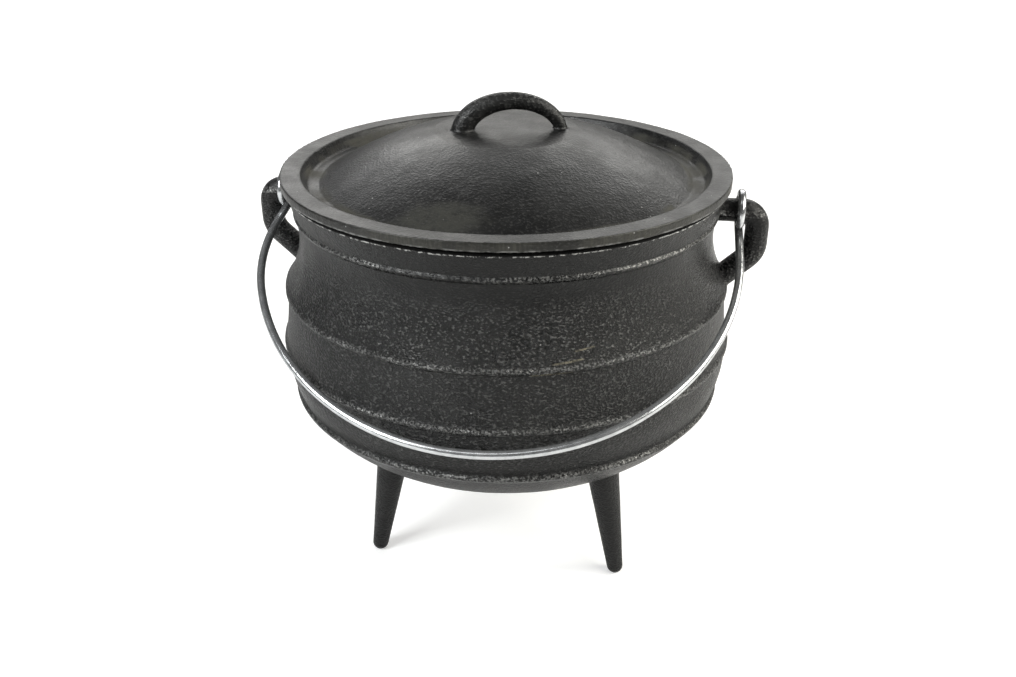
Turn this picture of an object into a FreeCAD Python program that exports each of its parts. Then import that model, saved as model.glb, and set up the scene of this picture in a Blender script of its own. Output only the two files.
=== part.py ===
import FreeCAD, Part
import math
import os
import Sketcher
from FreeCAD import Placement, Rotation, Vector

os.makedirs("parts", exist_ok=True)

# Three-legged cast-iron pot with a lid and a wire bail.
# Millimetres, +Z up, ground at Z = 0, the pot's axis is Z and the ears lie along X.
# The front is -Y, where the bail hangs down against the belly.

doc = FreeCAD.newDocument("potjie_pot")
sheet = doc.addObject("Spreadsheet::Sheet", "Sizes")

SIZES = {
    # pot outline: each place is a rise above the one below it and an inset from the belly
    "belly_radius": 135.1,
    "bottom_height": 68.5,
    "turn_rise": 22.5,
    "turn_inset": 37.6,
    "turn_curve": 88.0,
    "belly_low_rise": 31.2,
    "belly_low_inset": 4.4,
    "belly_rise": 31.6,
    "belly_curve": 58.0,
    "waist_rise": 22.2,
    "waist_inset": 2.8,
    "waist_curve": 160.0,
    "shoulder_rise": 11.0,
    "shoulder_inset": 3.5,
    "neck_rise": 43.6,
    "neck_inset": 11.9,
    "neck_curve": 56.0,
    "collar_rise": 4.6,
    "collar_step": 1.2,
    "rim_rise": 14.3,
    "rim_step": 2.8,
    # pot wall and mouth
    "wall_thickness": 5.5,
    "rim_width": 6.2,
    "rim_bevel": 2.4,
    "rim_bevel_width": 2.6,
    "mouth_depth": 11.0,
    # raised rings cast on the outside
    "ring_width": 5.0,
    "ring_rise": 1.5,
    "ring_bevel": 1.5,
    "collar_ring_width": 3.8,
    "collar_ring_rise": 1.4,
    "collar_ring_bevel": 1.3,
    # ears
    "ear_rod_radius": 6.8,
    "ear_drop": 16.7,
    "ear_corner_radius": 9.4,
    "ear_lower_corner_radius": 13.0,
    "ear_depth": 24.8,
    "ear_foot_sink": 8.6,
    "ear_foot_drop": 1.0,
    # legs
    "leg_tip_inset": 45.3,
    "leg_tip_radius": 5.1,
    "leg_tip_flat_radius": 1.8,
    "leg_lean": 16.2,
    "leg_top_sink": 1.0,
    "leg_top_radius": 11.6,
    # lid
    "lid_overhang": 2.8,
    "lid_flange_thickness": 5.0,
    "lid_flange_width": 11.6,
    "lid_wall_thickness": 5.0,
    "lid_mouth_clearance": 1.2,
    "lid_channel_depth": 7.4,
    "lid_channel_slope": 3.6,
    "lid_channel_width": 6.4,
    "lid_dome_rise": 27.4,
    "lid_dome_curve": 215.0,
    "lid_top_radius": 41.5,
    "lid_top_rise": 0.9,
    "lid_turn": 13.0,
    # lid handle
    "handle_centre": 3.0,
    "handle_half_span": 28.6,
    "handle_rise": 16.9,
    "handle_sink": 2.6,
    "handle_thick_radius": 6.6,
    "handle_thin_radius": 3.5,
    "handle_depth_offset": -3.0,
    # bail
    "bail_wire_diameter": 4.8,
    "eye_clearance": 0.6,
    "eye_lid_gap": 3.8,
    "eye_ear_gap": 1.2,
    "eye_wrap": 281.0,
    "shank_bend_radius": 14.0,
    "shank_straight": 2.0,
    "right_shank_spread": 2.5,
    "left_shank_spread": 13.0,
    "right_side_tighter": 14.0,
    "left_side_tighter": 54.0,
    "bail_belly_gap": 10.9,
    "bail_curve_centre": 18.9,
    "bail_curve_offset": 1.0,
    "bail_rest_gap": 0.3,
}


class Size:
    """A number that remembers how it was worked out from the sheet."""

    def __init__(self, text, value):
        self.text = text
        self.value = float(value)

    def _join(self, sign, other, value):
        return Size("(%s %s %s)" % (self.text, sign, other.text), value)

    def __add__(self, other):
        other = as_size(other)
        return self._join("+", other, self.value + other.value)

    def __sub__(self, other):
        other = as_size(other)
        return self._join("-", other, self.value - other.value)

    def __mul__(self, other):
        other = as_size(other)
        return self._join("*", other, self.value * other.value)

    def __truediv__(self, other):
        other = as_size(other)
        return self._join("/", other, self.value / other.value)

    def __neg__(self):
        return Size("(0 - %s)" % self.text, -self.value)


def as_size(number):
    return number if isinstance(number, Size) else Size("%.6g" % number, number)


def size(alias):
    return Size("Sizes." + alias, SIZES[alias])


def root(number):
    return Size("sqrt(%s)" % number.text, math.sqrt(number.value))


for row, (alias, number) in enumerate(SIZES.items(), start=1):
    sheet.set("A%d" % row, alias)
    sheet.set("B%d" % row, str(number))
    sheet.setAlias("B%d" % row, alias)
doc.recompute()

# Places on the pot's outside, from the bottom up
belly_radius = size("belly_radius")
turn_radius = belly_radius - size("turn_inset")
turn_height = size("bottom_height") + size("turn_rise")
belly_low_radius = belly_radius - size("belly_low_inset")
belly_low_height = turn_height + size("belly_low_rise")
belly_height = belly_low_height + size("belly_rise")
waist_radius = belly_radius - size("waist_inset")
waist_height = belly_height + size("waist_rise")
shoulder_radius = belly_radius - size("shoulder_inset")
shoulder_height = waist_height + size("shoulder_rise")
neck_radius = belly_radius - size("neck_inset")
neck_height = shoulder_height + size("neck_rise")
collar_radius = neck_radius + size("collar_step")
collar_height = neck_height + size("collar_rise")
rim_radius = collar_radius + size("rim_step")
rim_height = collar_height + size("rim_rise")
mouth_radius = rim_radius - size("rim_width")

# Places that the pot's ears and legs, the lid and the bail share
lid_radius = rim_radius + size("lid_overhang")
bail_wire_radius = size("bail_wire_diameter") / 2
eye_place = lid_radius + size("eye_lid_gap") + bail_wire_radius
ear_reach = eye_place + bail_wire_radius + size("eye_ear_gap") + size("ear_rod_radius")
ear_height = rim_height - size("ear_drop")
bail_curve = belly_radius + size("bail_belly_gap")
leg_tip_circle = belly_radius - size("leg_tip_inset")


# Sketch tools
def origin_plane(body, role):
    return next(f for f in body.Origin.OriginFeatures if f.Role == role)


def new_sketch(body, name, role):
    sketch = body.newObject("Sketcher::SketchObject", name)
    sketch.AttachmentSupport = (origin_plane(body, role), [""])
    sketch.MapMode = "FlatFace"
    return sketch


def bind(sketch, kind, numbers, amount):
    """Adds a dimension to the sketch and ties it to the sheet."""
    index = sketch.addConstraint(Sketcher.Constraint(kind, *numbers, amount.value))
    sketch.setExpression("Constraints[%d]" % index, amount.text)


def draw_outline(sketch, corners, curves, closed=True):
    """Joins the corners, straight or with an arc where curves gives a radius.

    A curve is keyed by the number of the corner where it starts. A positive radius bulges
    to the left of the way round, a negative one to the right.
    """
    count = len(corners)
    spots = [Vector(x.value, z.value, 0) for x, z in corners]
    last = count if closed else count - 1
    for k in range(last):
        start, end = spots[k], spots[(k + 1) % count]
        if k not in curves:
            sketch.addGeometry(Part.LineSegment(start, end), False)
            continue
        radius = curves[k]
        chord = end - start
        half = chord.Length / 2
        side = Vector(-chord.y, chord.x, 0).normalize()
        sign = 1 if radius.value > 0 else -1
        reach = abs(radius.value)
        bulge = reach - math.sqrt(reach * reach - half * half)
        middle = (start + end) * 0.5 + side * (bulge * sign)
        sketch.addGeometry(Part.Arc(start, middle, end), False)
    starts = {}
    for k in range(last):
        if k in curves and curves[k].value > 0:
            starts[k] = (2, 1)
        else:
            starts[k] = (1, 2)
    for k in range(last if closed else last - 1):
        after = (k + 1) % count
        sketch.addConstraint(Sketcher.Constraint("Coincident", k, starts[k][1], after, starts[after][0]))
    for k in range(count):
        segment, end = (k, starts[k][0]) if k < last else (k - 1, starts[k - 1][1])
        for axis, amount in (("DistanceX", corners[k][0]), ("DistanceY", corners[k][1])):
            if abs(amount.value) < 1e-9:
                line = -2 if axis == "DistanceX" else -1
                sketch.addConstraint(Sketcher.Constraint("PointOnObject", segment, end, line))
            else:
                bind(sketch, axis, (-1, 1, segment, end), amount)
    for k, radius in curves.items():
        amount = radius if radius.value > 0 else -radius
        bind(sketch, "Radius", (k,), amount)


def draw_circle(sketch, x, y, radius):
    index = sketch.addGeometry(Part.Circle(Vector(x.value, y.value, 0), Vector(0, 0, 1), radius.value), False)
    for kind, amount in (("DistanceX", x), ("DistanceY", y)):
        if abs(amount.value) < 1e-9:
            line = -2 if kind == "DistanceX" else -1
            sketch.addConstraint(Sketcher.Constraint("PointOnObject", index, 3, line))
        else:
            bind(sketch, kind, (-1, 1, index, 3), amount)
    bind(sketch, "Radius", (index,), radius)


def offset_sketch(sketch, amount):
    """Lifts a sketch off its plane along the plane's own normal."""
    sketch.AttachmentOffset = Placement(Vector(0, 0, amount.value), Rotation())
    sketch.setExpression("AttachmentOffset.Base.z", amount.text)


# Pot outline from the mouth down to the middle of the bottom
def ring_corners(radius, height, width, rise, bevel):
    """Corners of a raised ring that straddles a height, from its top down."""
    half = width / 2
    face = radius + rise
    return [
        (radius, height + half),
        (face, height + half - bevel),
        (face, height - half + bevel),
        (radius, height - half),
    ]


def dish_curve(width, rise):
    """Radius of the arc that stands out by the rise over the width."""
    return (width * width / 4 + rise * rise) / (rise * 2)


def pot_outline(sketch):
    ring = (size("ring_width"), size("ring_rise"), size("ring_bevel"))
    collar_ring = (size("collar_ring_width"), size("collar_ring_rise"), size("collar_ring_bevel"))
    zero = as_size(0)
    collar_ring_height = (collar_height + neck_height) / 2
    corners = [
        (zero, rim_height),
        (rim_radius - size("rim_bevel_width"), rim_height),
        (rim_radius, rim_height - size("rim_bevel")),
        (collar_radius, collar_height),
    ]
    curves = {}
    corners += ring_corners(neck_radius, collar_ring_height, *collar_ring)
    curves[len(corners) - 1] = -size("neck_curve")
    corners += ring_corners(shoulder_radius, shoulder_height, *ring)
    corners.append((waist_radius, waist_height))
    curves[len(corners) - 1] = -size("waist_curve")
    corners += ring_corners(belly_radius, belly_height, *ring)
    curves[len(corners) - 1] = size("belly_curve")
    corners += ring_corners(belly_low_radius, belly_low_height, *ring)
    curves[len(corners) - 1] = size("turn_curve")
    corners.append((turn_radius, turn_height))
    bottom_drop = turn_height - size("bottom_height")
    curves[len(corners) - 1] = dish_curve(turn_radius * 2, bottom_drop)
    corners.append((zero, size("bottom_height")))
    draw_outline(sketch, corners, curves)


# Hollow of the pot, a wall's thickness inside the outside
def hollow_outline(sketch):
    wall = size("wall_thickness")
    zero = as_size(0)
    above = rim_height + wall
    mouth_low = rim_height - size("mouth_depth")
    corners = [
        (zero, above),
        (mouth_radius, above),
        (mouth_radius, mouth_low),
        (neck_radius - wall, neck_height),
        (shoulder_radius - wall, shoulder_height),
        (belly_radius - wall, belly_height),
        (belly_low_radius - wall, belly_low_height),
        (turn_radius - wall / 2, turn_height + wall),
        (zero, size("bottom_height") + wall),
    ]
    floor_drop = turn_height - size("bottom_height")
    curves = {
        3: -(size("neck_curve") + wall),
        5: size("belly_curve"),
        6: size("turn_curve") - wall,
        7: dish_curve((turn_radius - wall / 2) * 2, floor_drop),
    }
    draw_outline(sketch, corners, curves)


def round_corner(corner, ahead, radius):
    """Places where a rounded corner leaves the line that comes down and joins the line ahead."""
    run_x = ahead[0] - corner[0]
    run_z = ahead[1] - corner[1]
    length = root(run_x * run_x + run_z * run_z)
    toward_x = run_x / length
    toward_z = run_z / length
    reach = radius * (-toward_x) / (as_size(1) - toward_z)
    leaves = (corner[0], corner[1] + reach)
    joins = (corner[0] + toward_x * reach, corner[1] + toward_z * reach)
    return leaves, joins


def ear_path(sketch):
    """Centre line of an ear: out from the neck, down, and back in to the shoulder."""
    corner_radius = size("ear_corner_radius")
    lower_radius = size("ear_lower_corner_radius")
    reach = ear_reach
    height = ear_height
    lower_corner = (reach, height - size("ear_depth"))
    foot = (shoulder_radius - size("ear_foot_sink"), shoulder_height - size("ear_foot_drop"))
    leaves, joins = round_corner(lower_corner, foot, lower_radius)
    corners = [
        (ear_start(), height),
        (reach - corner_radius, height),
        (reach, height - corner_radius),
        leaves,
        joins,
        foot,
    ]
    draw_outline(sketch, corners, {1: corner_radius, 3: lower_radius}, closed=False)


def ear_start():
    """The rods of the ears begin inside the hollow, which is cut out last."""
    return neck_radius - size("wall_thickness") * 2


def revolve(body, name, kind, sketch):
    turned = body.newObject(kind, name)
    turned.Profile = sketch
    turned.ReferenceAxis = (sketch, ["V_Axis"])
    turned.Angle = 360.0
    sketch.Visibility = False
    return turned


def cut_something(before, after):
    """Stops when a cut has taken nothing away."""
    if after.Shape.Volume >= before.Shape.Volume - 1e-6:
        raise RuntimeError("%s cut nothing" % after.Name)


def leg_outline(sketch):
    """Half of a leg, drawn upright about its own slanting axis from the middle of its round tip."""
    tip_radius = size("leg_tip_radius")
    flat_radius = size("leg_tip_flat_radius")
    tip_height = root(tip_radius * tip_radius - flat_radius * flat_radius)
    lean_in = size("leg_lean")
    rise = turn_height + size("leg_top_sink") - tip_height
    length = root(lean_in * lean_in + rise * rise)
    zero = as_size(0)
    corners = [
        (zero, -tip_radius),
        (tip_radius, zero),
        (size("leg_top_radius"), length),
        (zero, length),
    ]
    draw_outline(sketch, corners, {0: -tip_radius})
    lean = math.degrees(math.atan2(lean_in.value, rise.value))
    place = Vector(leg_tip_circle.value, tip_height.value, 0)
    sketch.AttachmentOffset = Placement(place, Rotation(Vector(0, 0, 1), lean))
    sketch.setExpression("AttachmentOffset.Base.x", leg_tip_circle.text)
    sketch.setExpression("AttachmentOffset.Base.y", tip_height.text)
    sketch.setExpression("AttachmentOffset.Rotation.Angle", "atan2(%s; %s)" % (lean_in.text, rise.text))


# Pot, one casting with its ears, rings and legs
def build_pot():
    body = doc.addObject("PartDesign::Body", "Pot")
    body.Label = "pot"
    outside = new_sketch(body, "PotOutside", "XZ_Plane")
    pot_outline(outside)
    revolve(body, "PotRound", "PartDesign::Revolution", outside)
    doc.recompute()

    side = new_sketch(body, "LegSide", "YZ_Plane")
    leg_outline(side)
    leg = revolve(body, "Leg", "PartDesign::Revolution", side)
    body.Tip = leg
    doc.recompute()
    legs = body.newObject("PartDesign::PolarPattern", "Legs")
    legs.Originals = [leg]
    legs.Axis = (outside, ["V_Axis"])
    legs.Angle = 360.0
    legs.Occurrences = 3
    body.Tip = legs
    doc.recompute()

    path = new_sketch(body, "EarPath", "XZ_Plane")
    ear_path(path)
    rod = new_sketch(body, "EarRod", "YZ_Plane")
    offset_sketch(rod, ear_start())
    draw_circle(rod, as_size(0), ear_height, size("ear_rod_radius"))
    doc.recompute()
    ear = body.newObject("PartDesign::AdditivePipe", "Ear")
    ear.Profile = rod
    ear.Spine = (path, ["Edge%d" % (k + 1) for k in range(5)])
    ear.Transition = "Transformed"
    body.Tip = ear
    doc.recompute()
    ears = body.newObject("PartDesign::Mirrored", "Ears")
    ears.Originals = [ear]
    ears.MirrorPlane = (origin_plane(body, "YZ_Plane"), [""])
    body.Tip = ears
    doc.recompute()

    ground = new_sketch(body, "Ground", "XY_Plane")
    draw_circle(ground, as_size(0), as_size(0), leg_tip_circle + size("leg_top_radius"))
    flats = body.newObject("PartDesign::Pocket", "LegFlats")
    flats.Profile = ground
    flats.Length = size("leg_tip_radius").value
    flats.setExpression("Length", size("leg_tip_radius").text)
    body.Tip = flats
    doc.recompute()
    cut_something(ears, flats)

    inside = new_sketch(body, "PotInside", "XZ_Plane")
    hollow_outline(inside)
    hollow = revolve(body, "PotHollow", "PartDesign::Groove", inside)
    body.Tip = hollow
    doc.recompute()
    cut_something(flats, hollow)
    return body


# Lid, one casting with its handle
def lid_outline(sketch):
    zero = as_size(0)
    wall = size("lid_wall_thickness")
    seat = rim_height
    flange_top = seat + size("lid_flange_thickness")
    flange_inside = lid_radius - size("lid_flange_width")
    floor_height = flange_top - size("lid_channel_depth")
    floor_outside = flange_inside - size("lid_channel_slope")
    dome_foot = floor_outside - size("lid_channel_width")
    top_height = floor_height + size("lid_dome_rise")
    spigot = mouth_radius - size("lid_mouth_clearance")
    under_floor = floor_height - wall
    top_curve = dish_curve(size("lid_top_radius") * 2, size("lid_top_rise"))
    corners = [
        (zero, top_height + size("lid_top_rise")),
        (size("lid_top_radius"), top_height),
        (dome_foot, floor_height),
        (floor_outside, floor_height),
        (flange_inside, flange_top),
        (lid_radius, flange_top),
        (lid_radius, seat),
        (spigot, seat),
        (spigot, under_floor + size("lid_mouth_clearance")),
        (spigot - size("lid_mouth_clearance"), under_floor),
        (dome_foot - wall / 2, under_floor),
        (size("lid_top_radius"), top_height - wall),
        (zero, top_height + size("lid_top_rise") - wall),
    ]
    curves = {
        0: top_curve,
        1: size("lid_dome_curve"),
        10: -(size("lid_dome_curve") - wall),
        11: -top_curve,
    }
    draw_outline(sketch, corners, curves)
    return top_height


HANDLE_SECTIONS = 9


def build_lid():
    body = doc.addObject("PartDesign::Body", "Lid")
    body.Label = "lid"
    outline = new_sketch(body, "LidOutline", "XZ_Plane")
    top_height = lid_outline(outline)
    revolve(body, "LidRound", "PartDesign::Revolution", outline)
    doc.recompute()

    sink = size("handle_sink")
    base_height = top_height - sink
    rise = size("handle_rise") + sink
    span = size("handle_half_span")
    sections = []
    for k in range(HANDLE_SECTIONS):
        share = k / (HANDLE_SECTIONS - 1)
        turn = 180.0 * share
        across = math.cos(math.radians(turn))
        upward = math.sin(math.radians(turn))
        place_x = size("handle_centre") + span * across
        place_z = base_height + rise * upward
        lean_x = span * (-upward)
        lean_z = rise * across
        lean = math.degrees(math.atan2(lean_x.value, lean_z.value))
        section = new_sketch(body, "HandleSection%d" % (k + 1), "XY_Plane")
        place = Vector(place_x.value, size("handle_depth_offset").value, place_z.value)
        section.AttachmentOffset = Placement(place, Rotation(Vector(0, 1, 0), lean))
        section.setExpression("AttachmentOffset.Base.x", place_x.text)
        section.setExpression("AttachmentOffset.Base.y", size("handle_depth_offset").text)
        section.setExpression("AttachmentOffset.Base.z", place_z.text)
        section.setExpression("AttachmentOffset.Rotation.Angle", "atan2(%s; %s)" % (lean_x.text, lean_z.text))
        thickness = size("handle_thin_radius") * (1 - share) + size("handle_thick_radius") * share
        draw_circle(section, as_size(0), as_size(0), thickness)
        sections.append(section)
    doc.recompute()
    handle = body.newObject("PartDesign::AdditiveLoft", "Handle")
    handle.Profile = sections[0]
    handle.Sections = sections[1:]
    body.Tip = handle
    doc.recompute()
    body.Placement = Placement(Vector(0, 0, 0), Rotation(Vector(0, 0, 1), size("lid_turn").value))
    body.setExpression("Placement.Rotation.Angle", size("lid_turn").text)
    doc.recompute()
    return body


# Bail, one bent wire that ends in an eye round the upper arm of each ear
def sheet_value(alias):
    return float(sheet.get(alias))


def arc_between(centre, radius, first, last, start_angle, end_angle):
    """Arc in the plane of two directions, through three places on it."""
    places = []
    for angle in (start_angle, (start_angle + end_angle) / 2, end_angle):
        places.append(centre + first * (radius * math.cos(angle)) + last * (radius * math.sin(angle)))
    return Part.Arc(*places).toShape()


# The wire is bent with its loop flat and pointing forward, then swung down to its rest.
FORWARD = Vector(0, -1, 0)
UNDER = Vector(0, 0, -1)


def bail_side(side, spread, tighter):
    """Edges from the end of the wire to the middle curve, that curve's centre and its angle."""
    side_curve = bail_curve.value - tighter
    outward = Vector(side, 0, 0)
    eye_radius = sheet_value("ear_rod_radius") + sheet_value("eye_clearance") + bail_wire_radius.value
    pivot = Vector(side * eye_place.value, 0, ear_height.value)
    wrap = math.radians(sheet_value("eye_wrap"))
    eye = arc_between(pivot, eye_radius, UNDER, -FORWARD, wrap, 0)

    start = pivot + UNDER * eye_radius
    bend_start = start + FORWARD * sheet_value("shank_straight")
    straight = Part.LineSegment(start, bend_start).toShape()
    bend_radius = sheet_value("shank_bend_radius")
    bend_centre = bend_start + outward * bend_radius
    bend = arc_between(bend_centre, bend_radius, -outward, FORWARD, 0, spread)
    bend_end = bend_centre - outward * (bend_radius * math.cos(spread)) + FORWARD * (bend_radius * math.sin(spread))

    # the side curve touches both the slanting shank and the middle curve
    run = FORWARD * math.cos(spread) + outward * math.sin(spread)
    inward = FORWARD * math.sin(spread) - outward * math.cos(spread)
    middle = Vector(sheet_value("bail_curve_offset"), 0, ear_height.value - eye_radius)
    middle = middle + FORWARD * sheet_value("bail_curve_centre")
    gap = bend_end + inward * side_curve - middle
    lead = gap.dot(run)
    travel = -lead + math.sqrt(lead * lead - gap.dot(gap) + tighter * tighter)
    shank_end = bend_end + run * travel
    shank = Part.LineSegment(bend_end, shank_end).toShape()
    side_centre = shank_end + inward * side_curve
    toward = (side_centre - middle).normalize()
    meeting_angle = math.atan2(toward.dot(FORWARD), toward.dot(outward))
    side_arc = arc_between(side_centre, side_curve, outward, FORWARD, -spread, meeting_angle)
    return [eye, straight, bend, shank, side_arc], middle, meeting_angle


def bend_wire():
    right_spread = math.radians(sheet_value("right_shank_spread"))
    left_spread = math.radians(sheet_value("left_shank_spread"))
    right_edges, middle, right_angle = bail_side(1, right_spread, sheet_value("right_side_tighter"))
    left_edges, middle, left_angle = bail_side(-1, left_spread, sheet_value("left_side_tighter"))
    bottom = arc_between(middle, bail_curve.value, Vector(1, 0, 0), FORWARD, right_angle, math.pi - left_angle)
    path = Part.Wire(right_edges + [bottom] + left_edges[::-1])
    first = path.OrderedEdges[0]
    start = first.valueAt(first.FirstParameter)
    heading = first.tangentAt(first.FirstParameter)
    ring = Part.Wire(Part.Circle(start, heading, bail_wire_radius.value).toShape())
    return path.makePipeShell([ring], True, True)


def swing_place(degrees):
    """Placement turned about the line through the ears, down for a positive angle."""
    return Placement(Vector(0, 0, 0), Rotation(Vector(1, 0, 0), degrees), Vector(0, 0, ear_height.value))


def swing(wire, degrees):
    swung = wire.copy()
    swung.Placement = swing_place(degrees)
    return swung


def rest_angle(wire, belly, level, sense):
    """How far the wire swings down from level until it lies against the belly."""
    free, stopped = 0.0, 60.0
    for halving in range(12):
        middle = (free + stopped) / 2
        if swing(wire, level + middle * sense).distToShape(belly)[0] < sheet_value("bail_rest_gap"):
            stopped = middle
        else:
            free = middle
    return free


def build_bail(belly):
    wire = bend_wire()
    front = rest_angle(wire, belly, 0, 1)
    back = rest_angle(wire, belly, -180, -1)
    print("bail rests %.2f degrees below level and swings %.2f degrees to the back" % (front, 180 + front + back))
    bail = doc.addObject("Part::Feature", "Bail")
    bail.Label = "bail"
    bail.Shape = wire
    bail.Placement = swing_place(front)
    return bail


parts = [build_pot(), build_lid()]
parts.append(build_bail(doc.getObject("PotRound").Shape))
doc.recompute()
for thing in doc.Objects:
    if "Invalid" in thing.State or "Error" in thing.State:
        raise RuntimeError("%s failed" % thing.Name)
for part in parts:
    if part.Shape.isNull() or not part.Shape.isValid():
        raise RuntimeError("%s has no sound shape" % part.Label)
for part in parts:
    print(part.Label, "solids", len(part.Shape.Solids), "volume %.0f mm3" % part.Shape.Volume)
    part.Shape.exportStep("parts/%s.step" % part.Label)
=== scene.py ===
import math

import bpy
from mathutils import Matrix, Vector


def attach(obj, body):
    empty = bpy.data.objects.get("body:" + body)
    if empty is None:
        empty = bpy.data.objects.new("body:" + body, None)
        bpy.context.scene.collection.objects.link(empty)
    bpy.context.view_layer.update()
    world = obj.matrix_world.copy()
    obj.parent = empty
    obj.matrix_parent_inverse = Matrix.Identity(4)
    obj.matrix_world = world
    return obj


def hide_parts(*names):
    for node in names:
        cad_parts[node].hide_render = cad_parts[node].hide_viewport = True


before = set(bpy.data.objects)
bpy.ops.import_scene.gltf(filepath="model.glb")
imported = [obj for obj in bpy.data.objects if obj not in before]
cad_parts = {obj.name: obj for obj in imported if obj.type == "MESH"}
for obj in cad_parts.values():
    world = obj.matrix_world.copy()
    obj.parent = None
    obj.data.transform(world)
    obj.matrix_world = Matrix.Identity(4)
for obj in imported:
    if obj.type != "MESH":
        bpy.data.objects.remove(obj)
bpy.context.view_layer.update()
bpy.ops.object.select_all(action="DESELECT")
print("frame loaded")


# making pieces
def selectOnly(thing):
    bpy.ops.object.select_all(action="DESELECT")
    thing.select_set(True)
    bpy.context.view_layer.objects.active = thing


def applyModifier(thing, kind, **values):
    selectOnly(thing)
    modifier = thing.modifiers.new(kind.lower(), kind)
    for field, value in values.items():
        setattr(modifier, field, value)
    bpy.ops.object.modifier_apply(modifier=modifier.name)


def copyOfNode(nodeName, pieceName):
    # a CAD node is loose triangles, so the copy is joined up before anything else
    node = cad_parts[nodeName]
    piece = bpy.data.objects.new(pieceName, node.data.copy())
    bpy.context.scene.collection.objects.link(piece)
    piece.data.materials.clear()
    selectOnly(piece)
    bpy.ops.object.mode_set(mode="EDIT")
    bpy.ops.mesh.select_all(action="SELECT")
    bpy.ops.mesh.remove_doubles(threshold=1e-6)
    bpy.ops.object.mode_set(mode="OBJECT")
    return piece


def softCasting(nodeName, pieceName, look):
    # a closed skin over the node, with its edges eased and its faces a little uneven
    piece = copyOfNode(nodeName, pieceName)
    applyModifier(piece, "REMESH", mode="VOXEL", voxel_size=look["voxel"], use_smooth_shade=True)
    applyModifier(piece, "SMOOTH", factor=look["smoothing"], iterations=look["softening"])
    wander = bpy.data.textures.new(pieceName + "Wander", "CLOUDS")
    wander.noise_scale = look["unevennessSize"]
    applyModifier(piece, "DISPLACE", texture=wander, texture_coords="LOCAL", direction="NORMAL",
                  mid_level=0.5, strength=look["unevenness"])
    triangles = len(piece.data.polygons) * 2
    if triangles > look["faces"]:
        applyModifier(piece, "DECIMATE", decimate_type="COLLAPSE", ratio=look["faces"] / triangles)
    selectOnly(piece)
    bpy.ops.object.shade_smooth()
    return piece


def finishPiece(piece, body, nodeName, material):
    piece.data.materials.append(material)
    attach(piece, body)
    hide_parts(nodeName)
    print(piece.name, "has", len(piece.data.polygons), "faces")


# making materials
def newMaterial(name):
    material = bpy.data.materials.new(name)
    material.use_nodes = True
    material.node_tree.nodes.clear()
    return material, material.node_tree


def setSocket(tree, socket, value):
    if isinstance(value, bpy.types.NodeSocket):
        tree.links.new(value, socket)
    else:
        socket.default_value = value


def addNode(tree, kind, inputs=None, **settings):
    # inputs maps a socket's name or number to a plain value or to another node's socket
    node = tree.nodes.new(kind)
    for field, value in settings.items():
        setattr(node, field, value)
    for key, value in (inputs or {}).items():
        setSocket(tree, node.inputs[key], value)
    return node


def compute(tree, operation, first, second=0.0):
    return addNode(tree, "ShaderNodeMath", {0: first, 1: second}, operation=operation).outputs[0]


def times(tree, first, *others):
    for other in others:
        first = compute(tree, "MULTIPLY", first, other)
    return first


def plus(tree, first, *others):
    for other in others:
        first = compute(tree, "ADD", first, other)
    return first


def minus(tree, first, second):
    return compute(tree, "SUBTRACT", first, second)


def strongest(tree, first, *others):
    for other in others:
        first = compute(tree, "MAXIMUM", first, other)
    return first


def noise(tree, vector, look):
    node = addNode(tree, "ShaderNodeTexNoise", {
        "Vector": vector, "Scale": look["scale"], "Detail": look["detail"],
        "Roughness": look.get("rough", 0.55),
    })
    return node.outputs["Fac"]


def fade(tree, value, start, end, low=0.0, high=1.0):
    # smooth step from low at start to high at end
    node = addNode(tree, "ShaderNodeMapRange", {
        "Value": value, "From Min": start, "From Max": end, "To Min": low, "To Max": high,
    }, interpolation_type="SMOOTHSTEP")
    return node.outputs["Result"]


def patches(tree, vector, look):
    # noise that is faded between the two values of fade, from the first value of reach to the second
    return fade(tree, noise(tree, vector, look), *look["fade"], *look.get("reach", (0.0, 1.0)))


def band(tree, value, middle, halfWidth, soft):
    # 1 within halfWidth of the middle, 0 a soft edge further out
    away = compute(tree, "ABSOLUTE", minus(tree, value, middle))
    return fade(tree, away, halfWidth, halfWidth + soft, 1.0, 0.0)


def blendColour(tree, share, first, second):
    node = tree.nodes.new("ShaderNodeMix")
    node.data_type = "RGBA"
    colourSockets = [socket for socket in node.inputs if socket.type == "RGBA"]
    for socket, value in zip([node.inputs[0]] + colourSockets, (share, first, second)):
        setSocket(tree, socket, value)
    return next(socket for socket in node.outputs if socket.type == "RGBA")


def places(tree):
    # object coordinates, the distance from the pot's axis, and the three coordinates by themselves
    spot = addNode(tree, "ShaderNodeTexCoord").outputs["Object"]
    across, depth, height = addNode(tree, "ShaderNodeSeparateXYZ", {0: spot}).outputs
    squares = plus(tree, times(tree, across, across), times(tree, depth, depth))
    return spot, compute(tree, "SQRT", squares), across, depth, height


def angleFromFront(tree, across, depth):
    return compute(tree, "ARCTAN2", across, times(tree, depth, -1.0))


def surface(tree, **inputs):
    shader = addNode(tree, "ShaderNodeBsdfPrincipled", {
        key.replace("_", " "): value for key, value in inputs.items()
    })
    out = addNode(tree, "ShaderNodeOutputMaterial")
    tree.links.new(shader.outputs[0], out.inputs["Surface"])


def newGroup(name, inputs, outputs):
    group = bpy.data.node_groups.new(name, "ShaderNodeTree")
    for socketName, kind in inputs:
        group.interface.new_socket(name=socketName, in_out="INPUT", socket_type=kind)
    for socketName, kind in outputs:
        group.interface.new_socket(name=socketName, in_out="OUTPUT", socket_type=kind)
    into = group.nodes.new("NodeGroupInput").outputs
    outOf = group.nodes.new("NodeGroupOutput").inputs
    return group, into, outOf


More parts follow.
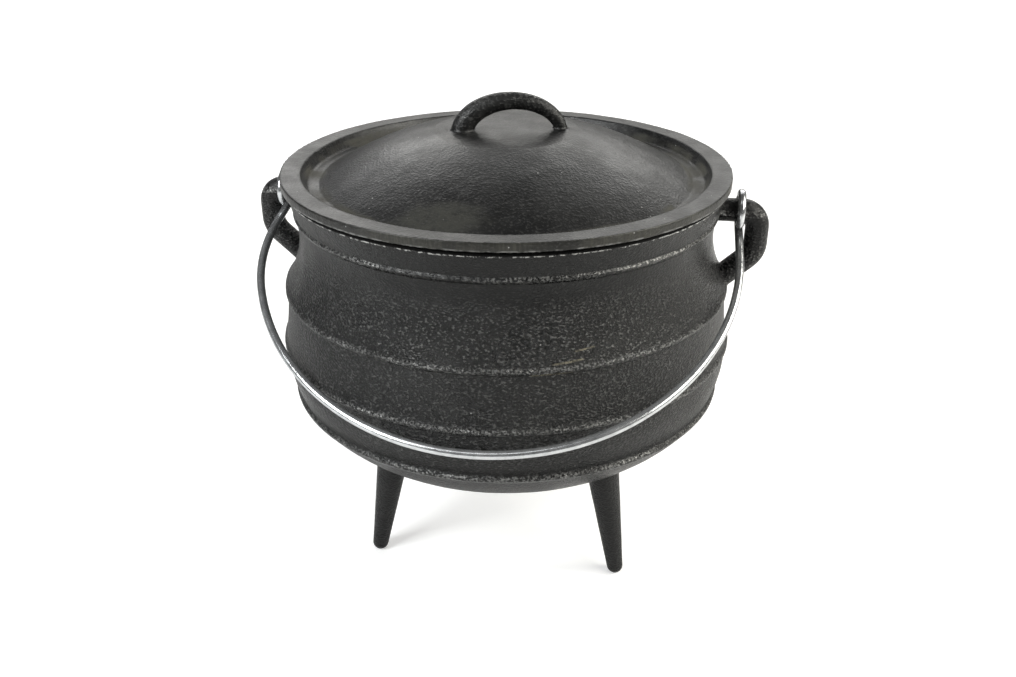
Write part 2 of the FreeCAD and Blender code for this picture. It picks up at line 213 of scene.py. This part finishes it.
# shared effect: the skin that a sand mould leaves, as a height and as the grain alone
sand = {
    "stretch": (1.0, 1.0, 1.6),   # the grains are wider than they are high
    "grain": {"scale": 640.0, "detail": 2.0, "rough": 0.5, "fade": (0.36, 0.70)},
    "lumps": {"scale": 330.0, "detail": 2.0, "rough": 0.5},
    "lumpShare": 0.7,
    "fine": {"scale": 2400.0, "detail": 1.0, "rough": 0.5},
    "fineShare": 0.2,
    "poreScale": 105.0,
    "poreFade": (0.06, 0.16),
    "poreSpread": {"scale": 60.0, "detail": 2.0, "fade": (0.56, 0.7)},
    "poreDepth": 0.8,
}


def makeSandSkin():
    group, into, outOf = newGroup(
        "sandSkin",
        [("Vector", "NodeSocketVector"), ("Coarse", "NodeSocketFloat")],
        [("Height", "NodeSocketFloat"), ("Grain", "NodeSocketFloat")],
    )
    place = into["Vector"]
    flatter = addNode(group, "ShaderNodeMapping", {"Vector": place, "Scale": sand["stretch"]})
    grain = patches(group, flatter.outputs["Vector"], sand["grain"])
    lumps = times(group, noise(group, place, sand["lumps"]), sand["lumpShare"])
    coarse = times(group, plus(group, grain, lumps), into["Coarse"])
    fine = times(group, noise(group, place, sand["fine"]), sand["fineShare"])
    cells = addNode(group, "ShaderNodeTexVoronoi", {"Vector": place, "Scale": sand["poreScale"]})
    pores = times(group, fade(group, cells.outputs["Distance"], *sand["poreFade"], 1.0, 0.0),
                  patches(group, place, sand["poreSpread"]), sand["poreDepth"])
    group.links.new(minus(group, plus(group, coarse, fine), pores), outOf["Height"])
    group.links.new(grain, outOf["Grain"])
    return group


# shared effect: tiny pale chips and grains of dust; the amount is the share of cells that hold one
dotFade = (0.08, 0.2)


def makeSpecks():
    group, into, outOf = newGroup(
        "specks",
        [("Vector", "NodeSocketVector"), ("Scale", "NodeSocketFloat"), ("Amount", "NodeSocketFloat")],
        [("Mask", "NodeSocketFloat")],
    )
    cells = addNode(group, "ShaderNodeTexVoronoi", {"Vector": into["Vector"], "Scale": into["Scale"]})
    pick = addNode(group, "ShaderNodeSeparateColor", {"Color": cells.outputs["Color"]}).outputs[0]
    chosen = compute(group, "LESS_THAN", pick, into["Amount"])
    dot = fade(group, cells.outputs["Distance"], *dotFade, 1.0, 0.0)
    group.links.new(times(group, chosen, dot), outOf["Mask"])
    return group


sandSkin = makeSandSkin()
specks = makeSpecks()
print("shared effects made")


# the pot: a copy of the casting, softened the way a sand mould softens its edges
pot = {
    "voxel": 0.0008,            # metres between the points of the soft skin
    "softening": 1,             # rounds of smoothing
    "smoothing": 0.3,           # share of each round
    "unevenness": 0.0005,       # how far the casting wanders from true
    "unevennessSize": 0.035,
    "faces": 194000,            # triangles at most

    "black": (0.0030, 0.0031, 0.0032, 1.0),
    "grey": (0.0095, 0.0095, 0.0093, 1.0),
    "greyPatches": {"scale": 22.0, "detail": 4.0, "fade": (0.35, 0.7)},
    "gloss": 0.34,
    "roughPatches": {"scale": 15.0, "detail": 5.0, "fade": (0.35, 0.65), "reach": (0.24, 0.42)},
    "outside": 0.118,           # the outer skin lies further from the axis than this
    "outsideSoft": 0.001,

    "sandBand": (0.150, 0.214),     # heights between which the sand skin is coarse
    "sandBandSoft": (0.03, 0.012),  # how softly it starts and ends
    "sandPatches": {"scale": 14.0, "detail": 2.0, "fade": (0.32, 0.6), "reach": (0.45, 1.0)},
    "calmFade": (0.176, 0.196),     # below these heights the band is calmer
    "calmShare": 0.55,
    "sandShare": 0.6,
    "plainSand": (0.4, 0.2),        # coarseness that is added below the neck and on it
    "plainSandSoft": 0.01,
    "glintTips": (0.145, 0.145, 0.141, 1.0),     # tips of the sand grains, painted pale as glints
    "tipFade": (0.62, 1.0),
    "tipStart": 0.1,                # coarseness at which the tips begin to show
    "tipMetal": 0.6,

    "rings": (0.2325, 0.1868, 0.1535, 0.1222),
    "ringHalf": 0.0014,             # half the height of the rubbed, pale part of a ring, which also stands as a painted highlight
    "ringSoft": 0.0010,
    "wornAndHighlight": (0.24, 0.24, 0.234, 1.0),       # where the blacking has rubbed off the raised rings, made pale enough to be a painted highlight along them; also the colour of the pale specks
    "rubbedHighlightGrain": {"scale": 800.0, "detail": 2.0, "fade": (0.44, 0.66)},
    "rubbedHighlightPatches": {"scale": 32.0, "detail": 3.0, "fade": (0.34, 0.56), "reach": (0.3, 1.0)},
    "wornMetal": 0.85,
    "bump": 0.00075,
    "bead": 1.15,                   # how far a ring rounds out, in bump distances
    "beadLow": (0.0024, 0.0012),    # the rounding grows between these distances below the middle
    "beadHigh": (0.0003, 0.0022),   # and goes from just below the middle to this far above it

    "rimHeight": 0.2461,            # the chipped line
    "ragged": 0.0014,               # how far the chips stray from it
    "raggedNoise": {"scale": 330.0, "detail": 3.0},
    "chipWidth": (0.0002, 0.0003),  # half width and softness
    "chipPatches": {"scale": 260.0, "detail": 5.0, "rough": 0.65, "fade": (0.47, 0.57)},
    "bareMetal": (0.48, 0.48, 0.465, 1.0),
    "gap": (0.2477, 0.0011, 0.0004),        # middle, half height and softness of the gap under the lid, painted near black as its shadow
    "paintedGapShadow": (0.0006, 0.0006, 0.0006, 1.0),

    # each scratch: angle from the front in degrees, height, half its length and its rise along that
    "scratches": ((26.9, 0.1948, 0.0060, 0.0005), (22.6, 0.1900, 0.0090, 0.0006),
                  (19.0, 0.1845, 0.0120, 0.0002)),
    "scratchRadius": 0.13,          # the belly's radius there, which turns an angle into a length
    "scratchWidth": (0.0002, 0.0002, 0.0004),   # middle, half width and softness
    "scratchCore": 0.7,             # share of the length at full strength
    "scratchGrain": (0.1, 0.6, 0.35, 1.0),  # a scratch shows less between the grains
    "scratch": (0.16, 0.145, 0.105, 1.0),
    "dots": {"Scale": 330.0, "Amount": 0.012},
}


def scratchMask(tree, across, depth, height):
    angle = angleFromFront(tree, across, depth)
    marks = []
    for degrees, middle, half, rise in pot["scratches"]:
        along = times(tree, minus(tree, angle, math.radians(degrees)), pot["scratchRadius"])
        line = minus(tree, minus(tree, height, middle), times(tree, along, rise / half))
        core = half * pot["scratchCore"]
        marks.append(times(tree, band(tree, line, *pot["scratchWidth"]),
                           band(tree, along, 0.0, core, half - core)))
    return strongest(tree, *marks)


def ringBeads(tree, height):
    lowEnd, lowTop = pot["beadLow"]
    highTop, highEnd = pot["beadHigh"]
    return strongest(tree, *[
        times(tree, fade(tree, height, middle - lowEnd, middle - lowTop),
              fade(tree, height, middle - highTop, middle + highEnd, 1.0, 0.0))
        for middle in pot["rings"]
    ])


def makePotIron():
    material, tree = newMaterial("potIron")
    spot, radius, across, depth, height = places(tree)
    outside = fade(tree, radius, pot["outside"] - pot["outsideSoft"], pot["outside"])
    colour = blendColour(tree, patches(tree, spot, pot["greyPatches"]), pot["black"], pot["grey"])

    low, high = pot["sandBand"]
    softLow, softHigh = pot["sandBandSoft"]
    coarse = times(
        tree,
        fade(tree, height, low - softLow, low),
        fade(tree, height, high - softHigh, high + softHigh, 1.0, 0.0),
        patches(tree, spot, pot["sandPatches"]),
        fade(tree, height, *pot["calmFade"], pot["calmShare"], 1.0),
        pot["sandShare"],
    )
    plainSand = fade(tree, height, high, high + pot["plainSandSoft"], *pot["plainSand"])
    coarse = plus(tree, coarse, plainSand)
    skin = addNode(tree, "ShaderNodeGroup", {"Vector": spot, "Coarse": coarse}, node_tree=sandSkin)
    grain = skin.outputs["Grain"]
    # pale tips of the sand grains: painted glints, strongest where the sand is coarse
    glintTips = times(tree, fade(tree, grain, *pot["tipFade"]), minus(tree, coarse, pot["tipStart"]), outside)
    colour = blendColour(tree, glintTips, colour, pot["glintTips"])

    # the raised rings painted pale: rubbed blacking and a painted highlight along them
    onRings = [band(tree, height, middle, pot["ringHalf"], pot["ringSoft"]) for middle in pot["rings"]]
    rubbedAndHighlight = times(tree, strongest(tree, *onRings), outside, patches(tree, spot, pot["rubbedHighlightGrain"]),
                   patches(tree, spot, pot["rubbedHighlightPatches"]))
    colour = blendColour(tree, rubbedAndHighlight, colour, pot["wornAndHighlight"])

    ragged = plus(tree, height, times(tree, noise(tree, spot, pot["raggedNoise"]), pot["ragged"]))
    chips = times(tree, band(tree, ragged, pot["rimHeight"] + pot["ragged"] / 2, *pot["chipWidth"]),
                  patches(tree, spot, pot["chipPatches"]), outside)
    colour = blendColour(tree, chips, colour, pot["bareMetal"])
    # the gap under the lid painted near black: a painted shadow in the recess
    gap = times(tree, band(tree, height, *pot["gap"]), outside)
    colour = blendColour(tree, gap, colour, pot["paintedGapShadow"])

    scratched = times(tree, scratchMask(tree, across, depth, height),
                      fade(tree, grain, *pot["scratchGrain"]))
    colour = blendColour(tree, scratched, colour, pot["scratch"])
    dots = addNode(tree, "ShaderNodeGroup", {"Vector": spot, **pot["dots"]}, node_tree=specks)
    colour = blendColour(tree, dots.outputs["Mask"], colour, pot["wornAndHighlight"])

    rough = strongest(tree, patches(tree, spot, pot["roughPatches"]), gap)
    metal = strongest(tree, times(tree, rubbedAndHighlight, pot["wornMetal"]), times(tree, glintTips, pot["tipMetal"]))
    beads = times(tree, ringBeads(tree, height), outside, pot["bead"])
    tall = plus(tree, skin.outputs["Height"], beads)
    bump = addNode(tree, "ShaderNodeBump", {"Height": tall, "Distance": pot["bump"]})
    surface(tree, Base_Color=colour, Roughness=rough, Metallic=metal, Specular_IOR_Level=pot["gloss"],
            Normal=bump.outputs["Normal"])
    return material


potPiece = softCasting("pot", "pot_casting", pot)
finishPiece(potPiece, "pot_and_lid", "pot", makePotIron())


# the lid, with its filed edge, dusty channel, paler spots on the dome, and its lower edge painted pale as a
# highlight
lid = {
    "voxel": 0.0008,
    "softening": 1,
    "smoothing": 0.5,
    "unevenness": 0.0004,
    "unevennessSize": 0.03,
    "faces": 160000,

    "black": (0.0046, 0.0047, 0.0048, 1.0),
    "grey": (0.0125, 0.0125, 0.0123, 1.0),
    "greyPatches": {"scale": 20.0, "detail": 4.0, "fade": (0.35, 0.7)},
    "gloss": 0.36,
    "roughPatches": {"scale": 55.0, "detail": 4.0, "fade": (0.3, 0.7), "reach": (0.28, 0.42)},
    "dustRoughness": 0.7,
    "coarse": (0.4, 0.85),          # of the sand skin: on the lid and on the handle
    "handleFoot": (0.2765, 0.2785),     # the handle begins between these heights
    "bump": 0.0002,
    "waves": {"scale": 85.0, "detail": 2.0},
    "waveShare": 1.5,

    "paleSpot": (0.055, 0.055, 0.053, 1.0),    # paler spots on the flat top and the dome's far side
    "paleSpotPatches": {"scale": 190.0, "detail": 6.0, "rough": 0.7, "fade": (0.5, 0.72)},
    "farSide": (-0.03, 0.05, 0.1, 0.5),     # depths between which the spots grow, and their strength
    "flatTop": (0.036, 0.042),      # the flat top ends between these distances from the axis
    "flatTopHeight": (0.2735, 0.2745),
    "flatTopShare": 0.8,
    "tipFade": (0.7, 1.0),
    "tipShare": (0.4, 0.9),         # on the lid and on the handle

    "dust": (0.060, 0.058, 0.047, 1.0),     # dried olive-brown dust in the channel
    "channel": (0.1115, 0.0045, 0.003),     # middle, half width and softness, from the axis
    "channelTop": (0.2505, 0.2525),
    "dustPatches": {"scale": 38.0, "detail": 4.0, "fade": (0.4, 0.66)},
    "brown": (0.030, 0.030, 0.0245, 1.0),   # the dull patch low on the dome
    "brownPlace": (-0.023, -0.098),
    "brownSize": (0.032, 0.012),            # half sizes
    "brownEdge": {"scale": 42.0, "detail": 6.0, "rough": 0.6},
    "brownRagged": 3.0,
    "brownFade": (1.5, 2.7, 0.85, 0.0),
    "brownPatches": {"scale": 260.0, "detail": 4.0, "fade": (0.3, 0.6), "reach": (0.45, 1.0)},

    "edge": (0.1293, 0.1297),       # the flange's outer edge starts between these distances
    "edgeRadius": 0.13,             # turns an angle into a length along the edge
    "lineSquash": 0.12,             # stretches the marks of the file upright
    "lines": {"scale": 800.0, "detail": 4.0, "rough": 0.65},
    "lineFade": (0.35, 0.75, 0.35, 0.8),
    "lineShare": 0.5,
    "filedPatches": {"scale": 26.0, "detail": 2.0, "fade": (0.40, 0.6), "reach": (0.25, 1.0)},
    "lowEdge": (0.2499, 0.0003, 0.0005),    # middle, half height and softness of its lower edge, painted pale as a highlight
    "lowEdgePatches": {"scale": 150.0, "detail": 3.0, "fade": (0.42, 0.6)},
    # the pale colour of the lower edge: a painted highlight
    "wornAndHighlight": (0.17, 0.17, 0.165, 1.0),
    "dots": {"Scale": 420.0, "Amount": 0.06},
    "dotPatches": {"scale": 30.0, "detail": 2.0, "fade": (0.45, 0.6)},
    "speck": (0.34, 0.34, 0.33, 1.0),
}


def brownMask(tree, spot, across, depth):
    # an ellipse with a ragged edge
    squares = [
        compute(tree, "POWER", compute(tree, "DIVIDE", minus(tree, value, middle), half), 2.0)
        for value, middle, half in zip((across, depth), lid["brownPlace"], lid["brownSize"])
    ]
    wobble = times(tree, noise(tree, spot, lid["brownEdge"]), lid["brownRagged"])
    inside = fade(tree, plus(tree, *squares, wobble), *lid["brownFade"])
    return times(tree, inside, patches(tree, spot, lid["brownPatches"]))


def makeLidIron():
    material, tree = newMaterial("lidIron")
    spot, radius, across, depth, height = places(tree)
    onHandle = fade(tree, height, *lid["handleFoot"])
    onLid, onLoop = lid["coarse"]
    coarse = plus(tree, times(tree, onHandle, onLoop - onLid), onLid)
    skin = addNode(tree, "ShaderNodeGroup", {"Vector": spot, "Coarse": coarse}, node_tree=sandSkin)
    colour = blendColour(tree, patches(tree, spot, lid["greyPatches"]), lid["black"], lid["grey"])

    # paler spots on the flat top, more of them towards the dome's far side
    onTop = times(tree, fade(tree, radius, *lid["flatTop"], 1.0, 0.0),
                  fade(tree, height, *lid["flatTopHeight"]))
    where = strongest(tree, fade(tree, depth, *lid["farSide"]), times(tree, onTop, lid["flatTopShare"]))
    paleSpotted = times(tree, patches(tree, spot, lid["paleSpotPatches"]), where)
    colour = blendColour(tree, paleSpotted, colour, lid["paleSpot"])
    # the tips of the grains painted pale as glints, more on the handle
    glintTips = times(tree, fade(tree, skin.outputs["Grain"], *lid["tipFade"]),
                 fade(tree, onHandle, 0.0, 1.0, *lid["tipShare"]))
    colour = blendColour(tree, glintTips, colour, lid["paleSpot"])

    dusty = times(tree, band(tree, radius, *lid["channel"]),
                  fade(tree, height, *lid["channelTop"], 1.0, 0.0),
                  patches(tree, spot, lid["dustPatches"]))
    colour = blendColour(tree, dusty, colour, lid["dust"])
    brown = brownMask(tree, spot, across, depth)
    colour = blendColour(tree, brown, colour, lid["brown"])

    onEdge = fade(tree, radius, *lid["edge"])
    around = times(tree, angleFromFront(tree, across, depth), lid["edgeRadius"])
    upright = addNode(tree, "ShaderNodeCombineXYZ", {0: around, 1: times(tree, height, lid["lineSquash"])})
    lines = noise(tree, upright.outputs[0], lid["lines"])
    filed = times(tree, onEdge, patches(tree, spot, lid["filedPatches"]))
    colour = blendColour(tree, times(tree, filed, fade(tree, lines, *lid["lineFade"])), colour, lid["dust"])
    # the lower edge of the flange painted pale: a painted highlight
    lowEdge = times(tree, onEdge, band(tree, height, *lid["lowEdge"]),
                    patches(tree, spot, lid["lowEdgePatches"]))
    colour = blendColour(tree, lowEdge, colour, lid["wornAndHighlight"])

    dots = addNode(tree, "ShaderNodeGroup", {"Vector": spot, **lid["dots"]}, node_tree=specks)
    chips = times(tree, dots.outputs["Mask"], patches(tree, spot, lid["dotPatches"]))
    colour = blendColour(tree, chips, colour, lid["speck"])

    rough = addNode(tree, "ShaderNodeMix", {
        0: strongest(tree, dusty, brown),
        2: patches(tree, spot, lid["roughPatches"]),
        3: lid["dustRoughness"],
    })
    tall = plus(tree, skin.outputs["Height"], times(tree, lines, filed, lid["lineShare"]),
                times(tree, noise(tree, spot, lid["waves"]), lid["waveShare"]))
    bump = addNode(tree, "ShaderNodeBump", {"Height": tall, "Distance": lid["bump"]})
    surface(tree, Base_Color=colour, Roughness=rough.outputs[0], Specular_IOR_Level=lid["gloss"],
            Normal=bump.outputs["Normal"])
    return material


lidPiece = softCasting("lid", "lid_casting", lid)
finishPiece(lidPiece, "pot_and_lid", "lid", makeLidIron())


# the bail, bright galvanised wire
bail = {
    "voxel": 0.0005,
    "softening": 3,
    "smoothing": 0.5,
    "unevenness": 0.00012,
    "unevennessSize": 0.02,
    "faces": 120000,
    "zinc": (0.72, 0.735, 0.75, 1.0),
    "dull": (0.56, 0.57, 0.585, 1.0),
    "dullPatches": {"scale": 150.0, "detail": 3.0, "fade": (0.42, 0.7)},
    "metal": 0.87,
    "roughPatches": {"scale": 200.0, "detail": 2.0, "fade": (0.3, 0.7), "reach": (0.17, 0.26)},
    "drawMarks": {"scale": 900.0, "detail": 3.0},
    "bump": 0.00002,
}


def makeWireZinc():
    material, tree = newMaterial("wireZinc")
    spot = addNode(tree, "ShaderNodeTexCoord").outputs["Object"]
    colour = blendColour(tree, patches(tree, spot, bail["dullPatches"]), bail["zinc"], bail["dull"])
    marks = noise(tree, spot, bail["drawMarks"])
    bump = addNode(tree, "ShaderNodeBump", {"Height": marks, "Distance": bail["bump"]})
    surface(tree, Base_Color=colour, Metallic=bail["metal"],
            Roughness=patches(tree, spot, bail["roughPatches"]), Normal=bump.outputs["Normal"])
    return material


bailPiece = softCasting("bail", "bail_wire", bail)
finishPiece(bailPiece, "bail_wire", "bail", makeWireZinc())


# floor and light
studio = {
    "floorSize": 30.0,
    "floorColour": (0.84, 0.84, 0.84, 1.0),
    "floorGlow": (0.40, 1.0),     # near and far, added for the camera alone
    "glowFrom": (0.7, 2.6),       # distances between which the glow grows
    "worldColour": (0.055, 0.055, 0.055, 1.0),
    "backdrop": (1.0, 1.0, 1.0, 1.0),       # what the camera alone sees behind the floor
    "plainTint": (1.0, 1.0, 1.0),
    "aim": (0.0, 0.0, 0.17),
    "lamps": {
        "frontLeft": {"place": (-0.83, -0.80, 0.95), "size": (0.6, 0.8), "power": 16.5,
                      "tint": (0.98, 1.0, 1.0)},
        "frontRight": {"place": (1.03, -0.50, 0.95), "size": (0.6, 0.8), "power": 8.5,
                       "tint": (1.0, 0.98, 0.92)},
        "right": {"place": (1.21, 0.11, 0.85), "size": (0.5, 0.9), "power": 13.0,
                  "tint": (1.0, 0.98, 0.9)},
        "backLeft": {"place": (-0.98, 1.17, 1.10), "size": (0.9, 0.8), "power": 3.6},
        "backRight": {"place": (0.52, 1.43, 1.10), "size": (0.9, 0.8), "power": 1.2},
        "back": {"place": (0.0, 2.1, 1.3), "size": (2.6, 1.0), "power": 18.5,
                 "tint": (1.0, 0.99, 0.95)},
        "backHigh": {"place": (-0.10, 1.15, 1.53), "size": (1.6, 0.5), "power": 3.4},
        "top": {"place": (-0.26, -0.65, 1.47), "size": (0.7, 0.3), "power": 1.0},
    },
}


def makeFloor():
    bpy.ops.mesh.primitive_plane_add(size=studio["floorSize"], location=(0, 0, 0))
    floor = bpy.context.object
    floor.name = "floor"
    material, tree = newMaterial("paleFloor")
    radius = places(tree)[1]
    diffuse = addNode(tree, "ShaderNodeBsdfDiffuse", {"Color": studio["floorColour"]})
    rays = addNode(tree, "ShaderNodeLightPath").outputs
    glow = fade(tree, radius, *studio["glowFrom"], *studio["floorGlow"])
    glow = addNode(tree, "ShaderNodeEmission", {"Strength": times(tree, rays["Is Camera Ray"], glow)})
    both = addNode(tree, "ShaderNodeAddShader", {0: diffuse.outputs[0], 1: glow.outputs[0]})
    out = addNode(tree, "ShaderNodeOutputMaterial")
    tree.links.new(both.outputs[0], out.inputs["Surface"])
    floor.data.materials.append(material)


def makeLamp(name, look):
    lamp = bpy.data.lights.new(name, "AREA")
    lamp.shape = "RECTANGLE"
    lamp.size, lamp.size_y = look["size"]
    lamp.energy = look["power"]
    lamp.color = look.get("tint", studio["plainTint"])
    thing = bpy.data.objects.new(name, lamp)
    thing.location = look["place"]
    toward = Vector(studio["aim"]) - Vector(look["place"])
    thing.rotation_euler = toward.to_track_quat("-Z", "Y").to_euler()
    bpy.context.scene.collection.objects.link(thing)


def makeWorld():
    world = bpy.data.worlds.new("studioAir")
    world.use_nodes = True
    tree = world.node_tree
    tree.nodes.clear()
    rays = addNode(tree, "ShaderNodeLightPath").outputs
    dim = addNode(tree, "ShaderNodeBackground", {"Color": studio["worldColour"]})
    white = addNode(tree, "ShaderNodeBackground", {"Color": studio["backdrop"]})
    both = addNode(tree, "ShaderNodeMixShader", {
        0: rays["Is Camera Ray"], 1: dim.outputs[0], 2: white.outputs[0],
    })
    out = addNode(tree, "ShaderNodeOutputWorld")
    tree.links.new(both.outputs[0], out.inputs["Surface"])
    bpy.context.scene.world = world


makeFloor()
for lampName, lampLook in studio["lamps"].items():
    makeLamp(lampName, lampLook)
makeWorld()

# camera, worked out from the photograph's perspective
camera = {
    "place": (0.0884, -0.5572, 0.4222),
    "down": 26.6,       # degrees below level
    "turn": 8.91,       # degrees to the left of straight ahead
    "lens": 35.16,
    "sensor": 36.0,
}
lens = bpy.data.cameras.new("photoCamera")
lens.lens = camera["lens"]
lens.sensor_width = camera["sensor"]
photoCamera = bpy.data.objects.new("photoCamera", lens)
bpy.context.scene.collection.objects.link(photoCamera)
turned = Matrix.Rotation(math.radians(camera["turn"]), 4, "Z")
tipped = Matrix.Rotation(math.radians(90.0 - camera["down"]), 4, "X")
photoCamera.matrix_world = Matrix.Translation(camera["place"]) @ turned @ tipped
bpy.context.scene.camera = photoCamera
bpy.context.scene.view_settings.view_transform = "Standard"
print("studio ready")
